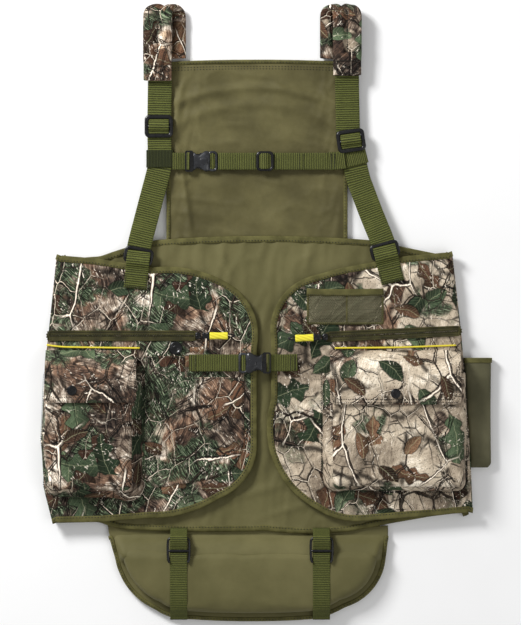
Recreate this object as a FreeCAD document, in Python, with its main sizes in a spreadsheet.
"""Turkey hunting vest, lying open on its back: +Y to the shoulders, +Z up out of its front."""
import FreeCAD, Part
import math
import os

V = FreeCAD.Vector
doc = FreeCAD.newDocument("hunting_vest")

# ---------------------------------------------------------------- driving dimensions
DIMENSIONS = [
    ("cloth", 2.0),            # every sewn panel, lining included
    ("web", 1.6),              # webbing thickness
    ("wide_web", 34.0),        # shoulder webbing width
    ("slim_web", 25.0),        # chest, waist and seat webbing width
    ("trim", 9.0),             # width of the edge binding
    ("trim_rise", 1.2),        # how far a binding stands above its panel
    ("yoke_top", 7.0),         # upper face of the padded yoke
    ("back_top", 9.0),         # upper face of the lower back panel
    ("front_low", 15.0),       # under face of the front panels
    ("front_top", 17.0),       # upper face of the front panels
    ("pocket_rise", 26.0),     # height of a cargo pocket
    ("pocket_wall", 1.6),
    ("frame_thick", 3.6),      # strap adjusters and rings
    ("buckle_thick", 10.0),
    ("buckle_wide", 30.0),
    ("seat_rise", 26.0),
    ("gap", 0.4),              # running clearance between pieces that move apart
]

sheet = doc.addObject("Spreadsheet::Sheet", "dims")
for row, (alias, number) in enumerate(DIMENSIONS, start=1):
    sheet.set("A%d" % row, alias)
    sheet.set("B%d" % row, str(number))
    sheet.setAlias("B%d" % row, alias)
doc.recompute()
D = {alias: float(sheet.get(alias)) for alias, number in DIMENSIONS}

POCKET_TOP = D["front_top"] + D["pocket_rise"]
WEB_LEVEL = 10.0               # under face of the shoulder webbing, just over the yoke
CHEST_LEVEL = 11.6             # under face of the chest webbing
LOOP_LEVEL = 8.4               # under face of the loops that carry the chest strap
LOOP_THICK = 5.0
WAIST_LEVEL = 20.8             # under face of the waist webbing
nodes = []


# ---------------------------------------------------------------- helpers
def keep(piece, label):
    """Names a finished piece as one node of the vest."""
    piece.Label = label
    nodes.append(piece)
    return piece


def edges(outline, closed=True):
    """Edges of an outline: (x, y) ends a line, (mx, my, x, y) ends an arc through (mx, my)."""
    made = []
    here = V(outline[0][0], outline[0][1], 0)
    for step in outline[1:]:
        there = V(step[-2], step[-1], 0)
        if len(step) == 4:
            made.append(Part.Arc(here, V(step[0], step[1], 0), there))
        else:
            made.append(Part.LineSegment(here, there))
        here = there
    first = V(outline[0][0], outline[0][1], 0)
    if closed and here.distanceToPoint(first) > 1e-6:
        made.append(Part.LineSegment(here, first))
    return made


def rounded(width, height, radius, centre=(0.0, 0.0)):
    """Outline of a rectangle with round corners."""
    x, y = centre
    a, b = width / 2, height / 2
    k = radius * (1 - math.sqrt(0.5))
    return [(x - a + radius, y - b), (x + a - radius, y - b),
            (x + a - k, y - b + k, x + a, y - b + radius), (x + a, y + b - radius),
            (x + a - k, y + b - k, x + a - radius, y + b), (x - a + radius, y + b),
            (x - a + k, y + b - k, x - a, y + b - radius), (x - a, y - b + radius),
            (x - a + k, y - b + k, x - a + radius, y - b)]


def sketch_on(body, role, outlines, level):
    """A sketch of closed outlines on one of the body's own origin planes, moved out by level."""
    sketch = body.newObject("Sketcher::SketchObject", "outline")
    plane = [item for item in body.Origin.OriginFeatures if item.Role == role][0]
    sketch.AttachmentSupport = [(plane, "")]
    sketch.MapMode = "FlatFace"
    sketch.setExpression(".AttachmentOffset.Base.z", level)
    for outline in outlines:
        for edge in edges(outline):
            sketch.addGeometry(edge, False)
    return sketch


def slab(name, outlines, level, thick, role="XY_Plane"):
    """A body padded from closed outlines: panels, frames and strap profiles."""
    body = doc.addObject("PartDesign::Body", name)
    profile = sketch_on(body, role, outlines, level)
    pad = body.newObject("PartDesign::Pad", "pad")
    pad.Profile = profile
    pad.setExpression("Length", thick)
    return body


def hollow(body, outline, level, depth):
    """Cuts the inside of a pocket from its under face upwards."""
    profile = sketch_on(body, "XY_Plane", [outline], level)
    cut = body.newObject("PartDesign::Pocket", "inside")
    cut.Profile = profile
    cut.Reversed = True
    cut.setExpression("Length", depth)
    return body


def band(name, path, width, level, thick):
    """A strip of cloth of even width along an open path: bindings, piping and seams."""
    sketch = doc.addObject("Sketcher::SketchObject", name + "_path")
    for edge in edges(path, closed=False):
        sketch.addGeometry(edge, False)
    strip = doc.addObject("Part::Offset2D", name + "_strip")
    strip.Source = sketch
    strip.setExpression("Value", width)
    strip.Fill = True
    strip.Mode = "Skin"
    strip.Join = 0
    solid = doc.addObject("Part::Extrusion", name)
    solid.Base = strip
    solid.DirMode = "Custom"
    solid.Dir = V(0, 0, 1)
    solid.Solid = True
    solid.setExpression("LengthFwd", thick)
    solid.setExpression(".Placement.Base.z", level)
    return solid


def block(name, size, at, frame=FreeCAD.Placement()):
    """A box whose three sizes are sheet expressions, at a corner given in a frame of its own."""
    box = doc.addObject("Part::Box", name)
    box.setExpression("Length", str(size[0]))
    box.setExpression("Width", str(size[1]))
    box.setExpression("Height", str(size[2]))
    box.Placement = frame.multiply(FreeCAD.Placement(V(*at), FreeCAD.Rotation()))
    return box


def turned(x, y, z, degrees):
    """A frame at a point, turned about the vertical."""
    return FreeCAD.Placement(V(x, y, z), FreeCAD.Rotation(V(0, 0, 1), degrees))


def fused(name, pieces):
    union = doc.addObject("Part::MultiFuse", name)
    union.Shapes = pieces
    return union


def cut(name, base, tool):
    piece = doc.addObject("Part::Cut", name)
    piece.Base = base
    piece.Tool = tool
    return piece


def group(name, pieces):
    """Separate solids that share one node."""
    several = doc.addObject("Part::Compound", name)
    several.Links = pieces
    return several


def plank(name, start, end, width, thick):
    """A straight run of webbing between the centres of its two ends, flat side up."""
    start, end = V(*start), V(*end)
    along = (end - start).normalize()
    across = V(0, 0, 1).cross(along).normalize()
    up = along.cross(across)
    half = D[width] / 2
    run = doc.addObject("Part::Box", name)
    run.Length = start.distanceToPoint(end)
    run.setExpression("Width", "dims." + width)
    run.setExpression("Height", "dims." + thick)
    turn = FreeCAD.Rotation(along, across, up, "XYZ")
    run.Placement = FreeCAD.Placement(start - across * half, turn)
    return run


# ---------------------------------------------------------------- back of the vest
YOKE_LEFT, YOKE_RIGHT, YOKE_LOW, YOKE_HIGH = -142.5, 115.5, 101.0, 357.0
YOKE_MIDDLE = (YOKE_LEFT + YOKE_RIGHT) / 2

HEM = [(-300, -292), (-236, -299), (-220, -305, -201, -309), (-100, -312, 0, -311),
       (62, -315, 119, -311.5), (175, -300.5), (232, -290.5), (284, -284)]
BACK_TOP = [(-290, 76), (-236, 80), (-204, 91, -158, 103), (0, 109, 147, 103), (230, 86), (260, 80)]


def yoke():
    path = [(YOKE_LEFT, YOKE_LOW), (YOKE_LEFT, YOKE_HIGH), (YOKE_MIDDLE, 360, YOKE_RIGHT, YOKE_HIGH),
            (YOKE_RIGHT, YOKE_LOW)]
    edge = band("yoke_edge", path, "dims.trim * 2 / 3", "0", "dims.yoke_top + dims.trim_rise")
    full = slab("yoke_full", [path], "0", "dims.yoke_top")
    keep(cut("yoke_cut", full, edge), "yoke_panel")
    keep(edge, "yoke_binding")


def lower_back():
    lower_edge = [(232, -290.5), (175, -300.5), (119, -311.5), (62, -315, 0, -311),
                  (-100, -312, -201, -309), (-220, -305, -236, -299), (-300, -292)]
    outline = BACK_TOP + [(278, -82), (284, -284)] + lower_edge + [(-313, -181), (-308, -60)]
    hem = band("hem_band", HEM, "-dims.trim", "0", "dims.back_top + dims.trim_rise")
    arch = band("arch_band", BACK_TOP, "dims.trim", "dims.yoke_top + dims.trim_rise", "dims.cloth")
    full = slab("back_full", [outline], "dims.yoke_top", "dims.cloth")
    under_arch = band("under_arch", BACK_TOP, "dims.trim", "dims.yoke_top", "dims.cloth")
    trimmed = cut("back_without_hem", full, hem)
    keep(cut("back_cut", trimmed, under_arch), "lower_back_panel")
    keep(arch, "back_top_binding")
    keep(hem, "hem_binding")
    bag = slab("bag_full", [outline], "0", "dims.cloth")
    below_yoke = block("bag_limit", (800, 200, "dims.cloth"), (-400, YOKE_LOW - 1, 0))
    keep(cut("bag_cut", cut("bag_low", bag, hem), below_yoke), "game_bag_panel")


# ---------------------------------------------------------------- front panels
LEFT_INNER = [(-298, 81.5), (-243, 77), (-162.5, 64), (-104, 61, -52, 40.5), (-22, 9, -13.5, -50),
              (-13.5, -181), (-22, -224, -66, -263.5), (-110, -284, -165.5, -292), (-236.5, -297.5),
              (-304, -299)]
LEFT_OUTER = [(-304, -299), (-316, -252), (-320, -181), (-314.5, -74.5), (-307.5, -10.5), (-298, 81.5)]
RIGHT_INNER = [(263.5, 86), (196.5, 80), (104.5, 63), (69, 53), (24, 26, 6.5, -40), (6.5, -124),
               (14, -222, 70.5, -279), (104, -294, 140, -296), (189.5, -292), (293, -283.5)]
RIGHT_OUTER = [(293, -283.5), (290.5, -223.5), (284.5, -124), (276, -25), (263.5, 86)]


def front_panel(side, inner, outer, inward):
    edge = band(side + "_edge", inner, inward, "dims.front_low", "dims.cloth + dims.trim_rise")
    full = slab(side + "_full", [inner + outer[1:]], "dims.front_low", "dims.cloth")
    keep(cut(side + "_cut", full, edge), side + "_front_panel")
    return edge


def fronts():
    left = front_panel("left", LEFT_INNER, LEFT_OUTER, "dims.trim")
    right = front_panel("right", RIGHT_INNER, RIGHT_OUTER, "-dims.trim")
    keep(group("both_edges", [left, right]), "front_bindings")
    height = "dims.front_low - dims.back_top"
    seam_left = band("seam_left", [(-301, -270), (-311, -181), (-305, -74), (-296, 60)], "6",
                     "dims.back_top", height)
    seam_right = band("seam_right", [(284, -270), (276, -124), (267, -25), (258, 66)], "-6",
                      "dims.back_top", height)
    keep(group("both_seams", [seam_left, seam_right]), "side_seams")


# ---------------------------------------------------------------- pockets
LEFT_POCKET = [(-189.5, -88), (-189.5, -250), (-195, -262, -206, -266), (-292, -262),
               (-306, -258, -311, -246), (-317, -181), (-312, -88)]
RIGHT_POCKET = [(279, -88), (284, -181), (282, -240), (278, -250, 268, -252), (96, -248),
                (82, -244, 78, -230), (78, -88)]
FLAP_HINGE_Y = -54.5
FLAP_BEND_Y = -80.0


def inset(outline, step, open_to):
    """The same pocket outline smaller by step on three sides and run out past its mouth."""
    low_x = min(point[-2] for point in outline)
    high_x = max(point[-2] for point in outline)
    low_y = min(point[-1] for point in outline)
    left, right = low_x + step, high_x - step
    return [(left + 6, open_to), (left + 6, low_y + step + 16), (left + 20, low_y + step + 6),
            (right - 20, low_y + step + 6), (right - 6, low_y + step + 16), (right - 6, open_to)]


def cargo_pocket(side, outline):
    body = slab(side + "_pocket", [outline], "dims.front_top", "dims.pocket_rise")
    step = D["pocket_wall"]
    hollow(body, inset(outline, step, -80), "dims.front_top", "dims.pocket_rise - dims.pocket_wall")
    keep(body, side + "_cargo_pocket")


def pocket_flap(side, low_x, high_x, tip_y):
    """A flap that rises from its hinge seam and lies over the pocket's top."""
    low = D["front_top"] + 0.3
    high = POCKET_TOP + 2.6
    thick = D["cloth"]
    profile = [(FLAP_HINGE_Y, low), (FLAP_HINGE_Y, low + thick), (FLAP_BEND_Y, high + thick),
               (tip_y, high + thick), (tip_y, high), (FLAP_BEND_Y + thick / 2, high)]
    flap = slab(side + "_flap", [profile], str(low_x), str(high_x - low_x), "YZ_Plane")
    keep(flap, side + "_pocket_flap")


def disc(name, radius, height, centre, level):
    made = doc.addObject("Part::Cylinder", name)
    made.Radius = radius
    made.Height = height
    made.Placement.Base = V(centre[0], centre[1], level)
    return made


def snap_stud(name, centre):
    base = disc(name + "_base", 5.5, 0.8, centre, POCKET_TOP)
    post = disc(name + "_post", 2.2, 2.2, centre, POCKET_TOP)
    return fused(name, [base, post])


def snap_cap(side, centre):
    """The cap above the flap and the socket ring below it, riveted through the cloth."""
    flap_low = POCKET_TOP + 2.6
    socket = disc(side + "_socket", 5.0, 1.5, centre, flap_low - 1.5)
    hole = disc(side + "_socket_hole", 2.7, 1.5, centre, flap_low - 1.5)
    cap = disc(side + "_cap", 7.0, 1.8, centre, flap_low + D["cloth"])
    keep(group(side + "_snap", [cut(side + "_ring", socket, hole), cap]), side + "_snap_cap")


def pockets():
    cargo_pocket("left", LEFT_POCKET)
    cargo_pocket("right", RIGHT_POCKET)
    pocket_flap("left", -313, -184, -127)
    pocket_flap("right", 90, 275, -130)
    left_snap, right_snap = (-275, -110), (182.5, -114.5)
    keep(group("studs", [snap_stud("left_stud", left_snap), snap_stud("right_stud", right_snap)]),
         "snap_studs")
    snap_cap("left", left_snap)
    snap_cap("right", right_snap)
    patch = [(-172.5, -60.5), (-172.5, -225), (-167, -243, -150, -248), (-75, -236),
             (-44, -214, -32, -170), (-32, -92), (-116, -92), (-116, -60.5)]
    keep(slab("zip_patch", [patch], "dims.front_top", "dims.web"), "zip_pocket_bag")
    ring = disc("ring_outer", 9.5, 2.4, (-129, -50.5), D["front_top"])
    eye = disc("ring_eye", 4.5, 2.4, (-129, -50.5), D["front_top"])
    keep(cut("ring_cut", ring, eye), "ring_snap")
    piping = [band("piping_left", [(-311, -46), (-293, -49), (-180, -50.5)], "2.4",
                   "dims.front_top", "2.2"),
              band("piping_right", [(98, -50.5), (190, -49.5), (269, -46.5)], "2.4", "dims.front_top", "2.2")]
    keep(group("piping", piping), "yellow_piping")


def mesh_pocket():
    outline = [(58, 33), (58, -16.5), (165.5, -16.5), (165.5, 33)]
    body = slab("mesh_full", [outline], "dims.front_top", "6")
    inside = [(59.2, 40), (59.2, -15.3), (164.3, -15.3), (164.3, 40)]
    hollow(body, inside, "dims.front_top", "4.8")
    limit = block("mesh_band_cut", (120, 12, 8), (52, 22.5, D["front_top"]))
    keep(cut("mesh_cut", body, limit), "mesh_pocket")
    strip = slab("mesh_band_full", [[(58, 33), (58, 22.5), (165.5, 22.5), (165.5, 33)]],
                 "dims.front_top", "6.4")
    hollow(strip, [(59.2, 40), (59.2, 15), (164.3, 15), (164.3, 40)], "dims.front_top", "4.8")
    keep(strip, "mesh_pocket_band")


def bottle_pocket():
    outline = [(281.8, -71.5), (320, -71.5), (320, -216), (319, -219, 316, -219.5), (291.5, -221)]
    body = slab("bottle_full", [outline], "0", "14.6")
    inside = [(284.5, -60), (318.4, -60), (318.4, -217), (292.6, -218.5)]
    hollow(body, inside, "dims.pocket_wall", "14.6 - 2 * dims.pocket_wall")
    keep(body, "bottle_pocket")
    rim = slab("rim_full", [[(281.3, -64.5), (320, -64.5), (320, -71.5), (281.8, -71.5)]], "0", "14.6")
    hollow(rim, [(284, -60), (318.4, -60), (318.4, -80), (284.5, -80)], "dims.pocket_wall",
           "14.6 - 2 * dims.pocket_wall")
    keep(rim, "bottle_pocket_rim")


# ---------------------------------------------------------------- zippers
def zipper(side, far_end, frame):
    """Tape, coil, slider and pull in a frame at the slider, whose +X points along the pull."""
    low = D["front_top"]
    tape = block(side + "_tape", (far_end, 12.5, 0.9), (-far_end, -6.25, low), frame)
    coil = block(side + "_coil", (far_end - 4, 4.5, 0.8), (2 - far_end, -2.25, low + 0.9), frame)
    slider = block(side + "_slider", (8, 11, 3.2), (0.4, -5.5, low + 2.1), frame)
    keep(slider, side + "_zipper_slider")
    tab = block(side + "_tab", (11, 12, 4.6), (9, -6, low + 5.6), frame)
    sleeve = block(side + "_sleeve", (27, 11, 5), (20.4, -5.5, low + 5.4), frame)
    keep(group(side + "_pull", [tab, sleeve]), side + "_zipper_pull")
    return tape, coil


LEFT_ZIP = turned(-101.5, -33.0, 0, 0.0)
RIGHT_ZIP = turned(87.5, -34.5, 0, 182.6)


def zippers():
    left_tape, left_coil = zipper("left", 209, LEFT_ZIP)
    right_tape, right_coil = zipper("right", 188, RIGHT_ZIP)
    keep(group("tapes", [left_tape, right_tape]), "zipper_tapes")
    keep(group("coils", [left_coil, right_coil]), "zipper_coils")


# ---------------------------------------------------------------- shoulders
def shoulder_pad(side, front_x, back_x, front_low_y, back_low_y, top_y):
    """A padded strap folded over at the top: the back leg lies low, the front leg above it."""
    wide = 41.5
    rise = 11.0
    upper = 13.0
    front = block(side + "_pad_front", (wide, top_y - front_low_y, rise), (front_x, front_low_y, upper))
    back = block(side + "_pad_back", (wide, top_y - 3 - back_low_y, rise), (back_x, back_low_y, 0))
    low_x = min(front_x, back_x)
    high_x = max(front_x, back_x) + wide
    fold = block(side + "_pad_fold", (high_x - low_x - 10, 11, 15), (low_x + 5, top_y - 14, 4.5))
    solid = fused(side + "_pad_solid", [front, back, fold])
    length = top_y - 16 - front_low_y
    foam = block(side + "_foam", (wide - 4, length, 7), (front_x + 2, front_low_y, upper + 2))
    keep(cut(side + "_pad_cut", solid, foam), side + "_shoulder_pad")
    return foam


def shoulder_webbing(side, route):
    runs = []
    for number in range(len(route) - 1):
        runs.append(plank("%s_run_%d" % (side, number), route[number], route[number + 1],
                          "wide_web", "web"))
    keep(fused(side + "_webbing_fused", runs), side + "_shoulder_webbing")


def strap_frame(name, wide, high, window_wide, window_high, frame):
    """A flat frame with two windows and a bar between them for webbing to pass round."""
    step = window_high / 2 + 2.3
    outlines = [rounded(wide, high, 3.0), rounded(window_wide, window_high, 1.0, (0, step)),
                rounded(window_wide, window_high, 1.0, (0, -step))]
    body = slab(name, outlines, "0", "dims.frame_thick")
    body.Placement = frame
    return body


def rings():
    made = []
    for name, x, y, degrees in (("left_ring", -181.5, 80.5, -11.0), ("right_ring", 168.0, 88.0, 14.5)):
        body = slab(name, [rounded(42, 24, 3.0), rounded(35, 14, 1.5, (0, 0.5))], "0",
                    "dims.frame_thick")
        body.Placement = turned(x, y, 18.6, degrees)
        made.append(body)
    keep(group("rings", made), "strap_rings")
    tab_level = 18.5
    left = block("left_tab", (36, 34, "dims.web"), (-18, -48, 0), turned(-181.5, 80.5, tab_level, -6.0))
    right = block("right_tab", (34, 34, "dims.web"), (-17, -48, 0), turned(168.0, 88.0, tab_level, 14.5))
    keep(group("tabs", [left, right]), "ring_tabs")


LEFT_ROUTE = [(-151.5, 327.6, 14.0), (-151.5, 318, WEB_LEVEL), (-151.5, 207, WEB_LEVEL),
              (-181, 93.5, 19.0)]
RIGHT_ROUTE = [(114.5, 335.1, 14.0), (114.5, 325, WEB_LEVEL), (114.5, 252, WEB_LEVEL),
               (131, 188, WEB_LEVEL), (164.5, 101.5, 19.0)]


def shoulders():
    left_foam = shoulder_pad("left", -175.5, -156, 328.5, 360.5, 439.5)
    right_foam = shoulder_pad("right", 94.0, 76.0, 336.0, 360.5, 439.5)
    keep(group("foams", [left_foam, right_foam]), "pad_foams")
    shoulder_webbing("left", LEFT_ROUTE)
    shoulder_webbing("right", RIGHT_ROUTE)
    level = WEB_LEVEL + D["web"] + D["gap"]
    over_loop = LOOP_LEVEL + LOOP_THICK + D["gap"]
    left = strap_frame("left_glide", 40.5, 32.5, 34.8, 10.5, turned(-153.0, 264.5, level, 0))
    right = strap_frame("right_glide", 40.5, 32.5, 34.8, 10.5, turned(120.0, 244.0, over_loop, 8.0))
    keep(left, "left_adjuster")
    keep(right, "right_adjuster")
    rings()


# ---------------------------------------------------------------- side-release buckles
RING_LONG = 11.0
BODY_LONG = 22.0
PRONG_ROOT = 9.0


def buckle(name, frame):
    """Female half, male half and two prongs; +X of the frame runs from the ring to the plug."""
    wide = D["buckle_wide"]
    ring = slab(name + "_ring", [rounded(RING_LONG + 4, wide - 2, 3.0, (RING_LONG / 2 + 2, 0)),
                                 rounded(4.5, 26, 1.0, (5.2, 0))], "0", "4")
    ring.Placement = frame.multiply(FreeCAD.Placement(V(0, 0, 3), FreeCAD.Rotation()))
    shell = block(name + "_shell", (BODY_LONG, "dims.buckle_wide", "dims.buckle_thick"),
                  (RING_LONG, -wide / 2, 0), frame)
    cavity = block(name + "_cavity", (BODY_LONG - 4, 24, 5.6), (RING_LONG + 4, -12, 2.2), frame)
    window = block(name + "_window", (9, wide + 4, 5.6), (RING_LONG + 6, -wide / 2 - 2, 2.2), frame)
    tools = [cavity, window]
    for sign in (-1, 1):
        scoop = doc.addObject("Part::Cylinder", name + "_scoop")
        scoop.Radius = 14
        scoop.setExpression("Height", "dims.buckle_thick")
        place = FreeCAD.Placement(V(RING_LONG + 12, sign * (wide / 2 + 11.4), 0), FreeCAD.Rotation())
        scoop.Placement = frame.multiply(place)
        tools.append(scoop)
    joined = fused(name + "_joined", [ring, shell])
    keep(cut(name + "_female_cut", joined, fused(name + "_tools", tools)), name + "_buckle_female")

    plug = RING_LONG + BODY_LONG + 0.3
    base = slab(name + "_base", [rounded(12, wide, 3.0, (plug + 6, 0)),
                                 rounded(4, 26, 1.0, (plug + 7.4, 0))], "0", "6")
    base.Placement = frame.multiply(FreeCAD.Placement(V(0, 0, 2), FreeCAD.Rotation()))
    tongue = block(name + "_tongue", (15.5, 5, 3), (plug - 15, -2.5, 3.5), frame)
    keep(fused(name + "_male_fused", [base, tongue]), name + "_buckle_male")
    for side, sign in (("a", -1), ("b", 1)):
        stem = block(name + "_stem", (12, 2.6, 3.4), (plug - 12.3, sign * PRONG_ROOT - 1.3, 3.3), frame)
        head_low = 8.0 if sign > 0 else -11.6
        head = block(name + "_head", (6, 3.6, 3.4), (plug - 15, head_low, 3.3), frame)
        keep(fused(name + "_prong_" + side, [stem, head]), "%s_prong_%s" % (name, side))


CHEST_Y = 215.0
WAIST_Y = -71.5
CHEST_BUCKLE = turned(-70.5, CHEST_Y, D["yoke_top"] + D["gap"], 180.0)
WAIST_BUCKLE = turned(-39.0, WAIST_Y, 19.2, 0.0)


def strap_loop(name, centre, wide, frame_turn):
    """A flat sleeve of webbing round the shoulder webbing, sewn to the end of the chest strap."""
    frame = turned(centre[0], centre[1], LOOP_LEVEL, frame_turn)
    outer = block(name + "_outer", (wide, "dims.slim_web", LOOP_THICK), (-wide / 2, -12.5, 0), frame)
    inner = block(name + "_inner", (wide - 2.4, 30, 2.4), (-wide / 2 + 1.2, -15, 1.3), frame)
    return cut(name, outer, inner)


def chest_strap():
    buckle("chest", CHEST_BUCKLE)
    left = strap_loop("left_loop", (-151.5, 218.5), 38.0, 0.0)
    tab = block("left_loop_tab", (16, "dims.slim_web", "dims.web"), (-132.5, CHEST_Y - 12.5, CHEST_LEVEL))
    right = strap_loop("right_loop", (122.8, 221.0), 39.0, 14.0)
    keep(group("loops", [fused("left_loop_sewn", [left, tab]), right]), "chest_loops")
    keep(block("chest_run", (170, "dims.slim_web", "dims.web"), (-70, CHEST_Y - 12.5, CHEST_LEVEL)),
         "chest_webbing")
    level = CHEST_LEVEL + D["web"] + D["gap"]
    keep(strap_frame("chest_glide", 28.5, 25.5, 23.5, 7.6, turned(-2.2, CHEST_Y, level, 90)),
         "chest_slider")


def waist_strap():
    buckle("waist", WAIST_BUCKLE)
    keep(block("waist_run_left", (70.5, "dims.slim_web", "dims.web"),
               (-110, WAIST_Y - 12.5, WAIST_LEVEL)), "waist_webbing_left")
    keep(block("waist_run_right", (37.5, "dims.slim_web", "dims.web"), (7, WAIST_Y - 12.5, WAIST_LEVEL)),
         "waist_webbing_right")


# ---------------------------------------------------------------- seat cushion
SEAT_EDGE = [(-224.5, -318), (-215, -351.5), (-200, -388, -158.5, -422.5), (-136, -433.5, -108.5, -436.5),
             (-20, -439.5, 64.5, -436.5), (90, -430, 111.5, -419.5), (152, -393, 169.5, -351.5),
             (173.5, -318)]
SEAT_BODY = [(-213, -332), (-207, -354), (-191, -386, -153, -415.5), (-132, -426, -107, -429),
             (-20, -432, 63, -429), (86, -423, 106, -412.5), (145, -388, 161, -350), (164, -332)]
SEAT_FOAM = [(-207, -336), (-202, -356), (-187, -384, -150, -411), (-130, -421, -106, -424),
             (-20, -427, 62, -424), (84, -418, 102, -408.5), (140, -385, 156, -349), (158, -336)]


def seat():
    flange = slab("seat_flange", [SEAT_EDGE], "5", "3")
    upper = slab("seat_upper", [SEAT_BODY], "dims.cloth", "dims.seat_rise - dims.cloth")
    foam = slab("seat_foam_body", [SEAT_FOAM], "dims.cloth", "dims.seat_rise - 2 * dims.cloth")
    edge = band("seat_edge", SEAT_EDGE, "-dims.trim * 2 / 3", "4", "5")
    cover = cut("seat_hollow", fused("seat_cover_full", [flange, upper]), foam)
    keep(cut("seat_cut", cover, edge), "seat_cover")
    keep(foam, "seat_foam")
    keep(edge, "seat_binding")
    keep(slab("seat_base_body", [SEAT_BODY], "0", "dims.cloth"), "seat_base_cloth")


SEAT_LOCK_Y = -336.5
LEFT_LOCK_X = -124.5
RIGHT_LOCK_X = 78.0


def seat_straps():
    level = D["seat_rise"] + 0.2
    runs = []
    locks = {}
    for side, x in (("left", LEFT_LOCK_X), ("right", RIGHT_LOCK_X)):
        runs.append(block(side + "_seat_run", ("dims.slim_web", 96, "dims.web"), (x - 12.5, -430, level)))
        frame = turned(x, SEAT_LOCK_Y, level + D["web"] + D["gap"], 0)
        locks[side] = strap_frame(side + "_lock", 35, 36, 26, 12.4, frame)
    keep(group("seat_runs", runs), "seat_webbings")
    keep(locks["left"], "left_seat_lock")
    keep(locks["right"], "right_seat_lock")


# ---------------------------------------------------------------- build, check and write
def build():
    yoke()
    lower_back()
    fronts()
    pockets()
    mesh_pocket()
    bottle_pocket()
    zippers()
    shoulders()
    chest_strap()
    waist_strap()
    seat()
    seat_straps()
    doc.recompute()


def check():
    for item in doc.Objects:
        if "Invalid" in item.State or "Error" in item.State:
            raise RuntimeError("%s failed: %s" % (item.Name, item.State))
    for piece in nodes:
        shape = piece.Shape
        if shape.isNull() or not shape.isValid() or not shape.Solids:
            raise RuntimeError("%s has no valid solid" % piece.Label)


def write():
    os.makedirs("parts", exist_ok=True)
    for piece in nodes:
        piece.Shape.exportStep("parts/%s.step" % piece.Label)
    print(len(nodes), "nodes written")


build()
check()
write()
